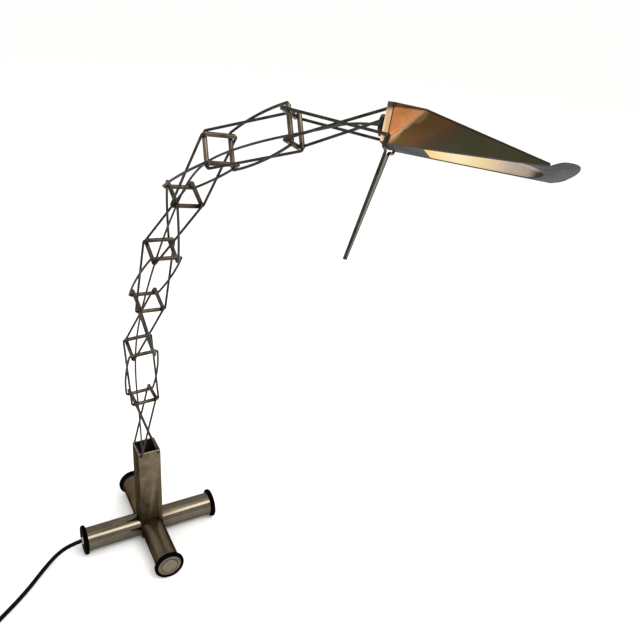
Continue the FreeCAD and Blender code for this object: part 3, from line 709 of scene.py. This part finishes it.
# White enamel inside the shade, with a dim base and a painted glow in place of the lamp's light on it, and
# painted shade at its sides and front end
ENAMEL_PAINTED_GLOW = EnamelWithPaintedGlow("enamel_with_painted_glow", "6e675c", "615a50", 0.0, 0.4, 0.5, 1.0,
                         patch_mm=20.0, bump_mm=0.005, specular=0.2)
# Frosted glass of the lit lamp: an even warm glow
LAMP_GLOW = Glow("frosted_glass_lamp_lit", "ffd999", 3.0)


# Modelling helpers

# A copied node's vertices closer than this, in metres, are merged, and its faces flatter than this joined
MERGE_M = 2e-6
FLAT_DEGREES = 0.5
# Order of a cord's curve, and how round its section is
CORD_ORDER = 3
CORD_ROUND_STEPS = 4


def deselect_all() -> None:
    """Leave edit mode and select nothing."""
    if bpy.context.mode != "OBJECT":
        bpy.ops.object.mode_set(mode="OBJECT")
    bpy.ops.object.select_all(action="DESELECT")


def activate(piece: bpy.types.Object) -> None:
    """Make one piece the only selected and the active one."""
    deselect_all()
    piece.select_set(True)
    bpy.context.view_layer.objects.active = piece


def settle(piece: bpy.types.Object) -> None:
    """Write the piece's place, turn and size into its mesh."""
    activate(piece)
    bpy.ops.object.transform_apply(location=True, rotation=True, scale=True)


def smooth(piece: bpy.types.Object, degrees: float = 35.0) -> None:
    """Shade a piece smooth up to an angle."""
    activate(piece)
    bpy.ops.object.shade_smooth_by_angle(angle=math.radians(degrees))


def paint(piece: bpy.types.Object, *materials: bpy.types.Material) -> None:
    """Give a piece its materials in order."""
    piece.data.materials.clear()
    for material in materials:
        piece.data.materials.append(material)


def paint_node(node: str, material: bpy.types.Material) -> None:
    """Give a CAD node a better material in its own slots."""
    piece = NODES[node]
    for slot in piece.material_slots:
        slot.material = material


def soft_copy(node: str, name: str, edge_mm: float, segments: int = 2,
              limit: float = 30.0) -> bpy.types.Object:
    """Copy a CAD node as one merged mesh with softened edges.

    Args:
        node: The CAD node to copy.
        name: The new piece's name.
        edge_mm: Width of the softened edges.
        segments: Steps across each softened edge.
        limit: Smallest angle between faces that is softened, in degrees.

    Returns:
        The new piece.
    """
    piece = bpy.data.objects.new(name, NODES[node].data.copy())
    bpy.context.scene.collection.objects.link(piece)
    activate(piece)
    bpy.ops.mesh.customdata_custom_splitnormals_clear()
    bpy.ops.object.mode_set(mode="EDIT")
    bpy.ops.mesh.select_all(action="SELECT")
    bpy.ops.mesh.remove_doubles(threshold=MERGE_M)
    bpy.ops.mesh.dissolve_limited(angle_limit=math.radians(FLAT_DEGREES))
    bpy.ops.object.mode_set(mode="OBJECT")
    bevel = piece.modifiers.new("soft_edges", "BEVEL")
    bevel.width = edge_mm * MM
    bevel.segments = segments
    bevel.limit_method = "ANGLE"
    bevel.angle_limit = math.radians(limit)
    bevel.use_clamp_overlap = True
    bpy.ops.object.modifier_apply(modifier=bevel.name)
    smooth(piece)
    return piece


def tube_curve(name: str, points: list[Vector], radius: float, resolution: int = 8) -> bpy.types.Object:
    """Make a round cord along control points.

    Args:
        name: The piece's name.
        points: Control points of one open NURBS spline.
        radius: Radius of the cord in metres.
        resolution: Steps of the spline between control points.

    Returns:
        The curve object.
    """
    curve = bpy.data.curves.new(name, "CURVE")
    curve.dimensions = "3D"
    spline = curve.splines.new("NURBS")
    spline.points.add(len(points) - 1)
    for knot, spot in zip(spline.points, points):
        knot.co = (*spot, 1.0)
    spline.order_u = CORD_ORDER
    spline.use_endpoint_u = True
    spline.resolution_u = resolution
    curve.bevel_depth = radius
    curve.bevel_resolution = CORD_ROUND_STEPS
    curve.use_fill_caps = True
    piece = bpy.data.objects.new(name, curve)
    bpy.context.scene.collection.objects.link(piece)
    return piece


def declare(piece: bpy.types.Object, body: str, slot: str, *nodes: str) -> None:
    """Tie a piece to its body and hide the nodes that it stands for.

    Args:
        piece: The piece.
        body: The body that it moves with.
        slot: Its material slot in the part; not used.
        nodes: The CAD nodes that it takes the place of.
    """
    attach(piece, body)
    if nodes:
        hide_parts(*nodes)
    LOG.info("piece %s", piece.name)


def as_mesh(piece: bpy.types.Object) -> bpy.types.Object:
    """Turn a curve into a mesh piece.

    Args:
        piece: The curve.

    Returns:
        The mesh piece.
    """
    activate(piece)
    bpy.ops.object.convert(target="MESH")
    return bpy.context.view_layer.objects.active


def join(pieces: list[bpy.types.Object], name: str) -> bpy.types.Object:
    """Join pieces into one.

    Args:
        pieces: The pieces to join.
        name: The joined piece's name.

    Returns:
        The joined piece.
    """
    activate(pieces[0])
    for piece in pieces:
        piece.select_set(True)
    bpy.ops.object.join()
    whole = bpy.context.active_object
    whole.name = name
    return whole


# Sub-assemblies

@dataclass
class Foot:
    """The four-tube foot, its square post, rings, caps and switch."""

    edge_mm: float = 0.5
    post_edge_mm: float = 0.7
    button_edge_mm: float = 0.35
    weld_radius_mm: float = 1.1
    weld_steps: tuple[int, int] = (64, 8)
    ripple_mm: float = 0.12
    post_half_mm: float = 15.0
    axis_height_mm: float = 19.85
    tube_radius_mm: float = 16.0
    # The side tubes take the darker copy and the front and back tubes the lighter one: painted shade and
    # light
    tubes: dict[Side, Finish] = field(default_factory=lambda: {
        Side.RIGHT: TUBE_X, Side.LEFT: TUBE_X, Side.BACK: TUBE_Y, Side.FRONT: TUBE_Y})

    def build(self) -> None:
        """Dress the foot's nodes and replace the ones that need softer edges."""
        made = {finish: finish.make() for finish in (TUBE_X, TUBE_Y)}
        for side, finish in self.tubes.items():
            paint_node("base_tube_" + side.value, made[finish])
        self.post(POST_STEEL.make())
        rubber = RUBBER.make()
        self.rings(rubber)
        cap = CAP_STEEL.make()
        paint_node("end_caps_plain", cap)
        paint_node("end_cap_cord", CAP_STEEL_SHADED.make())
        self.replace("end_cap_switch", "switch_end_cap", self.edge_mm, cap, "base", "cap_metal")
        self.replace("switch_button", "push_button", self.button_edge_mm, BUTTON_STEEL.make(), "button",
                     "cap_metal")
        self.replace("cord_gland", "cord_bush", self.edge_mm, PALE_BUSH.make(), "base", "pale_plastic")
        black = BLACK_PLASTIC.make()
        paint_node("switch_body", black)
        paint_node("ballast_slugs", IRON.make())
        paint_node("terminal_block", CERAMIC.make())
        paint_node("cord_inside", SHEATH.make())
        self.welds(WELD_STEEL.make())

    def replace(self, node: str, name: str, edge_mm: float, material: bpy.types.Material,
                body: str, slot: str) -> None:
        """Put a softened copy in a node's place.

        Args:
            node: The CAD node.
            name: The new piece's name.
            edge_mm: Width of its softened edges.
            material: Its material.
            body: The body that it moves with.
            slot: Its material slot in the part.
        """
        piece = soft_copy(node, name, edge_mm)
        paint(piece, material)
        declare(piece, body, slot, node)

    def post(self, steel: bpy.types.Material) -> None:
        """The square post with slightly rounded edges."""
        self.replace("post", "square_post", self.post_edge_mm, steel, "base", "post_metal")

    def rings(self, rubber: bpy.types.Material) -> None:
        """The rubber rings that the lamp stands on."""
        paint_node("foot_rings", rubber)

    def welds(self, steel: bpy.types.Material) -> None:
        """Thin weld beads where the foot tubes meet the post.

        Args:
            steel: The beads' material.
        """
        deselect_all()
        beads = []
        radius = (self.tube_radius_mm - self.weld_radius_mm / 2) * MM
        place = Vector((self.post_half_mm, 0, self.axis_height_mm)) * MM
        round_steps, section_steps = self.weld_steps
        for quarter in range(len(Side)):
            angle = 90 * quarter
            bpy.ops.mesh.primitive_torus_add(major_radius=radius, minor_radius=self.weld_radius_mm * MM,
                                             major_segments=round_steps, minor_segments=section_steps,
                                             location=place, rotation=(0, math.pi / 2, 0))
            bead = bpy.context.active_object
            settle(bead)
            turn = Matrix.Rotation(math.radians(angle), 4, "Z")
            bead.data.transform(Matrix.Translation(POST_AXIS) @ turn)
            self.ripple(bead, seed=angle)
            beads.append(bead)
        welds = join(beads, "foot_weld_beads")
        smooth(welds, ROUND_DEGREES)
        paint(welds, steel)
        declare(welds, "base", "foot_metal")

    def ripple(self, bead: bpy.types.Object, seed: int) -> None:
        """Make a bead slightly uneven, as a hand weld is.

        Args:
            bead: The bead.
            seed: Seed of the random heights.
        """
        source = random.Random(seed)
        activate(bead)
        bpy.ops.object.mode_set(mode="EDIT")
        mesh = bmesh.from_edit_mesh(bead.data)
        for vertex in mesh.verts:
            vertex.co += vertex.normal * source.uniform(-self.ripple_mm, self.ripple_mm) * MM
        bmesh.update_edit_mesh(bead.data)
        bpy.ops.object.mode_set(mode="OBJECT")


@dataclass
class Arm:
    """The crossed wire links and the soldered frames between them."""

    pitch_half_mm: float = 13.2
    blob_mm: float = 1.5
    blob_steps: int = 3
    blob_flat: tuple[float, float] = (1.15, 1.45)
    blob_high: tuple[float, float] = (0.85, 1.1)
    grip_edge_mm: float = 0.25

    def build(self) -> None:
        """Dress the links and frames and add the solder at the frames' corners."""
        wire = WIRE_STEEL.make()
        tube = FRAME_STEEL.make()
        solder = SOLDER.make()
        for number in range(1, BAYS + 1):
            paint_node("link_a%d" % number, wire)
            paint_node("link_b%d" % number, wire)
        for number in range(1, BAYS):
            paint_node("frame_%d" % number, tube)
            self.solder(number, solder)
            LOG.info("frame %d", number)
        grip = soft_copy("handle_grip", "handle_grip_piece", self.grip_edge_mm)
        paint(grip, GRIP_STEEL.make())
        declare(grip, "link_a%d" % BAYS, "wire_metal", "handle_grip")

    def solder(self, number: int, material: bpy.types.Material) -> None:
        """Solder blobs that join the four tubes of one frame.

        Args:
            number: The frame's number.
            material: The solder.
        """
        place = station(number)
        turn = Matrix((place.across, place.along, place.up)).transposed().to_4x4()
        source = random.Random(number)
        blobs = []
        for side_x in (-1, 1):
            for side_y in (-1, 1):
                deselect_all()
                bpy.ops.mesh.primitive_ico_sphere_add(subdivisions=self.blob_steps,
                                                      radius=self.blob_mm * MM)
                blob = bpy.context.active_object
                blob.scale = (source.uniform(*self.blob_flat), source.uniform(*self.blob_flat),
                              source.uniform(*self.blob_high))
                settle(blob)
                corner = place.spot(side_x * self.pitch_half_mm, side_y * self.pitch_half_mm)
                blob.data.transform(Matrix.Translation(corner) @ turn)
                blobs.append(blob)
        piece = join(blobs, "solder_%d" % number)
        smooth(piece, ROUND_DEGREES)
        paint(piece, material)
        declare(piece, "frame_%d" % number, "frame_metal")


@dataclass
class Lead:
    """The thin lead that runs up inside the arm from the post to the lampholder."""

    radius_mm: float = 1.1
    corner_mm: float = -8.5
    reach_mm: float = 22.0
    holder_back_mm: float = 9.5
    holder_drop_mm: float = 2.0
    post_run: tuple = ((0.0, 0.0, 27.85), (0.0, 0.0, 59.85), (-8.5, -8.5, 110.0), (-8.5, -8.5, 153.0))

    def stops(self) -> list[tuple[Vector, Vector]]:
        """Work out where the lead passes from bay to bay: by a corner of each frame.

        Returns:
            Each place in metres, with the lead's direction there, from the post to the lampholder.
        """
        frames = [station(number) for number in range(1, BAYS)]
        inside = [(place.spot(self.corner_mm, self.corner_mm), place.up) for place in frames]
        back = SHADE_FORWARD * self.holder_back_mm + SHADE_UP * self.holder_drop_mm
        return [(point(self.post_run[-1]), UPRIGHT), *inside,
                (point(SHADE_CENTRE) - back * MM, SHADE_FORWARD)]

    def build(self) -> None:
        """Lay the lead bay by bay, in two halves that meet in the middle of each bay."""
        skin = LEAD_SKIN.make()
        radius = self.radius_mm * MM
        reach = self.reach_mm * MM
        foot = as_mesh(tube_curve("lead_in_post", [point(p) for p in self.post_run], radius))
        paint(foot, skin)
        declare(foot, "base", "cord_black", "lead_post")
        for number, ((start, leaving), (end, arriving)) in enumerate(pairwise(self.stops()), start=1):
            first = start + leaving * reach
            second = end - arriving * reach
            middle = (first + second) / 2
            lower = as_mesh(tube_curve("lead_%d_lower" % number, [start, first, middle], radius))
            upper = as_mesh(tube_curve("lead_%d_upper" % number, [middle, second, end], radius))
            for half in (lower, upper):
                paint(half, skin)
            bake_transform(lower)
            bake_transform(upper)
            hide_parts("lead_%d" % number)
            LOG.info("lead %d", number)


@dataclass
class Shade:
    """The folded shade with its bottom plate, lampholder and lamp."""

    sheet_edge_mm: float = 0.22
    holder_edge_mm: float = 0.5
    edge_steps: int = 2
    shell_fold_degrees: float = 12.0
    axis_drop_mm: float = 12.0
    inward_limit: float = 0.12
    inside_from_mm: float = 3.5
    upward_limit: float = 0.8
    tongue_from_mm: float = 126.0

    def build(self) -> None:
        """Dress the shade and light its lamp."""
        # The enamel inside the shade, on the plate and on the holder plate carries a painted glow in place
        # of the lamp's light
        outer, inner, plate = SHADE_SHEET.make(), ENAMEL_PAINTED_GLOW.make(), PLATE_SHEET.make()
        shell = soft_copy("shade_shell", "folded_shade", self.sheet_edge_mm, self.edge_steps,
                          self.shell_fold_degrees)
        paint(shell, outer, inner)
        self.paint_inside(shell)
        declare(shell, "shade", "shade_bronze", "shade_shell")
        bottom = soft_copy("bottom_plate", "slotted_bottom_plate", self.sheet_edge_mm)
        paint(bottom, plate, inner)
        self.paint_top(bottom)
        declare(bottom, "shade", "plate_grey", "bottom_plate")
        paint_node("holder_plate", inner)
        holder = soft_copy("lamp_holder", "lampholder", self.holder_edge_mm)
        paint(holder, BLACK_PLASTIC.make())
        declare(holder, "shade", "black_plastic", "lamp_holder")
        paint_node("lamp_base", BRASS.make())
        paint_node("lamp_glass", LAMP_GLOW.make())

    def paint_inside(self, shell: bpy.types.Object) -> None:
        """Give the enamel and its painted glow to the faces that look at the shade's own inside.

        Args:
            shell: The shade's folded sheet.
        """
        core = point(SHADE_CENTRE)
        for face in shell.data.polygons:
            spot = face.center - core
            forward = spot.dot(SHADE_FORWARD)
            axis_spot = core + SHADE_FORWARD * forward - SHADE_UP * self.axis_drop_mm * MM
            towards = (axis_spot - face.center).normalized()
            inward = towards.dot(face.normal) > self.inward_limit
            past_collar = forward > self.inside_from_mm * MM
            face.material_index = 1 if inward and past_collar else 0

    def paint_top(self, plate: bpy.types.Object) -> None:
        """Give the enamel and its painted glow to the plate's upper face, except on the tongue.

        Args:
            plate: The shade's bottom plate.
        """
        core = point(SHADE_CENTRE)
        for face in plate.data.polygons:
            before_tongue = (face.center - core).dot(SHADE_FORWARD) < self.tongue_from_mm * MM
            upward = face.normal.dot(SHADE_UP) > self.upward_limit
            face.material_index = 1 if upward and before_tongue else 0


@dataclass
class MainsCord:
    """The black mains cord, its coil beyond the view and its plug."""

    radius_mm: float = 2.8
    route: tuple = ((-95.0, 0.0, 19.85), (-112.0, 0.8, 17.3), (-129.0, 1.2, 7.6), (-148.0, -12.5, 2.85),
                    (-169.3, -36.2, 2.85), (-190.2, -56.0, 2.85), (-214.0, -75.5, 2.85))
    coil_start: tuple[float, float, float] = (-235.0, -96.5, 2.85)
    coil_heading: float = -135.0
    coil_outer_mm: float = 45.1
    coil_pitch_mm: float = 6.2
    lower_halves: int = 7
    upper_halves: int = 6
    steps: int = 8
    spline_steps: int = 6
    straight_mm: float = 5.6
    tail: tuple = ((-265.69, -118.42, 8.6), (-276.44, -146.43, 7.0), (-278.95, -170.3, 7.0))
    length_m: float = 1.78
    plug_edge_mm: float = 0.8
    plug_edge_steps: int = 3

    def coil(self) -> list[Vector]:
        """Control points of the coil: inward on the lower layer, outward on the upper.

        Returns:
            Points in millimetres.
        """
        turn = math.radians(self.coil_heading)
        heading = Vector((math.cos(turn), math.sin(turn), 0))
        spots = [Vector(self.coil_start)]
        spot = spots[0] + heading * self.straight_mm
        radius = self.coil_outer_mm
        halves = self.lower_halves + 1 + self.upper_halves
        # A curve of this kind runs inside its control points, so these stand outside the circle
        swell = 1 / math.cos(math.pi / self.steps / 2)
        for half in range(halves):
            side = Vector((heading.y, -heading.x, 0))
            centre = spot + side * radius
            rise = self.coil_pitch_mm if half == self.lower_halves else 0.0
            for step in range(self.steps):
                angle = math.pi * (step + 0.5) / self.steps
                arm = (side * -math.cos(angle) + heading * math.sin(angle)) * radius * swell
                climb = rise * (1 - math.cos(angle)) / 2
                spots.append(centre + arm + Vector((0, 0, climb)))
            spot = spot + side * (2 * radius) + Vector((0, 0, rise))
            heading = -heading
            radius += -self.coil_pitch_mm / 2 if half < self.lower_halves else self.coil_pitch_mm / 2
        spots.append(spot + heading * self.straight_mm)
        return spots

    def build(self) -> None:
        """Lay the cord and put the plug on its end."""
        spots = [Vector(p) for p in self.route] + self.coil() + [Vector(p) for p in self.tail]
        cord = tube_curve("mains_cord", [point(spot) for spot in spots], self.radius_mm * MM,
                          self.spline_steps)
        cord.data.materials.append(SHEATH.make())
        declare(cord, "base", "cord_black", "cord_run", "cord_coil", "cord_tail")
        plug = soft_copy("plug_body", "two_pin_plug", self.plug_edge_mm, self.plug_edge_steps)
        paint(plug, BLACK_PLASTIC.make())
        declare(plug, "base", "black_plastic", "plug_body")
        paint_node("plug_prongs", BRASS.make())


@dataclass(frozen=True)
class SoftLight:
    """A soft area light: places in metres from the post's foot, width and height in metres, watts."""

    name: str
    place: tuple[float, float, float]
    aim: tuple[float, float, float]
    size: tuple[float, float]
    power: float
    tint: str = "ffffff"


@dataclass
class Studio:
    """Pale floor, soft lights and the photograph's camera."""

    camera_mm: tuple[float, float, float] = (-203.7, -778.96, 766.3)
    azimuth: float = -120.705
    elevation: float = 25.387
    roll: float = 4.505
    focal_px: float = 705.19
    image_px: float = 640.0
    centre_px: tuple[float, float] = (321.81, 296.13)
    sensor_mm: float = 36.0
    clip_m: tuple[float, float] = (0.02, 100.0)
    floor_m: float = 80.0
    paper: str = "fdfdfc"
    paper_roughness: float = 0.9
    air: str = "ffffff"
    air_strength: float = 1.0
    sources: tuple[SoftLight, ...] = (
        SoftLight("window_strip", (0.4, -1.12, 1.62), (0.0, 0.0, 0.02), (1.2, 0.8), 22),
        SoftLight("olive_bounce", (0.37, -0.2, 1.96), (0.0, 0.0, 0.02), (0.9, 0.8), 3, "dcd6b4"),
        SoftLight("left_window", (-1.7, -0.5, 1.3), (0.0, -0.1, 0.3), (0.5, 1.2), 5))

    def build(self) -> None:
        """Set up the view, the floor and the lights."""
        self.camera()
        self.floor()
        self.lights()

    def camera(self) -> None:
        """Place the camera at the photograph's viewing angle."""
        azimuth, elevation, roll = [math.radians(v) for v in (self.azimuth, self.elevation, self.roll)]
        back = Vector((math.cos(elevation) * math.cos(azimuth), math.cos(elevation) * math.sin(azimuth),
                       math.sin(elevation)))
        right = (-back).cross(UPRIGHT).normalized()
        up = right.cross(-back)
        turned_right = right * math.cos(roll) + up * math.sin(roll)
        turned_up = up * math.cos(roll) - right * math.sin(roll)
        lens = bpy.data.cameras.new("photo_view")
        lens.sensor_width = self.sensor_mm
        lens.lens = self.sensor_mm * self.focal_px / self.image_px
        lens.shift_x = (self.image_px / 2 - self.centre_px[0]) / self.image_px
        lens.shift_y = (self.centre_px[1] - self.image_px / 2) / self.image_px
        lens.clip_start, lens.clip_end = self.clip_m
        camera = bpy.data.objects.new("photo_view", lens)
        bpy.context.scene.collection.objects.link(camera)
        turn = Matrix((turned_right, turned_up, back)).transposed().to_4x4()
        camera.matrix_world = Matrix.Translation(point(self.camera_mm)) @ turn
        bpy.context.scene.camera = camera

    def floor(self) -> None:
        """A plain pale floor that runs out of the view."""
        deselect_all()
        bpy.ops.mesh.primitive_plane_add(size=self.floor_m, location=(0, 0, 0))
        plane = bpy.context.active_object
        plane.name = "studio_floor"
        settle(plane)
        values = {"Base Color": linear(self.paper), "Roughness": self.paper_roughness,
                  "Specular IOR Level": 0.0}
        paint(plane, new_material("pale_studio_paper", values)[0])

    def light(self, source: SoftLight) -> None:
        """Add one soft area light.

        Args:
            source: What the light is and where it stands.
        """
        light = bpy.data.lights.new(source.name, "AREA")
        light.shape = "RECTANGLE"
        light.size, light.size_y = source.size
        light.energy = source.power
        light.color = linear(source.tint)[:3]
        lamp = bpy.data.objects.new(source.name, light)
        bpy.context.scene.collection.objects.link(lamp)
        place, aim = Vector(source.place), Vector(source.aim)
        lamp.location = place + POST_AXIS
        lamp.rotation_euler = (aim - place).to_track_quat("-Z", "Y").to_euler()

    def lights(self) -> None:
        """Soft studio light from above, with one window-like key light."""
        world = bpy.data.worlds.new("studio_air")
        world.use_nodes = True
        air = world.node_tree.nodes["Background"]
        air.inputs["Color"].default_value = linear(self.air)
        air.inputs["Strength"].default_value = self.air_strength
        bpy.context.scene.world = world
        bpy.context.scene.view_settings.view_transform = "Standard"
        for source in self.sources:
            self.light(source)


def main() -> None:
    """Build and dress the lamp, then set up the studio."""
    logging.basicConfig(level=logging.INFO)
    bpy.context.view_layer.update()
    for part in (Studio(), MainsCord(), Foot(), Arm(), Lead(), Shade()):
        part.build()
        LOG.info("built %s", type(part).__name__)
    deselect_all()


if __name__ == "__main__":
    main()
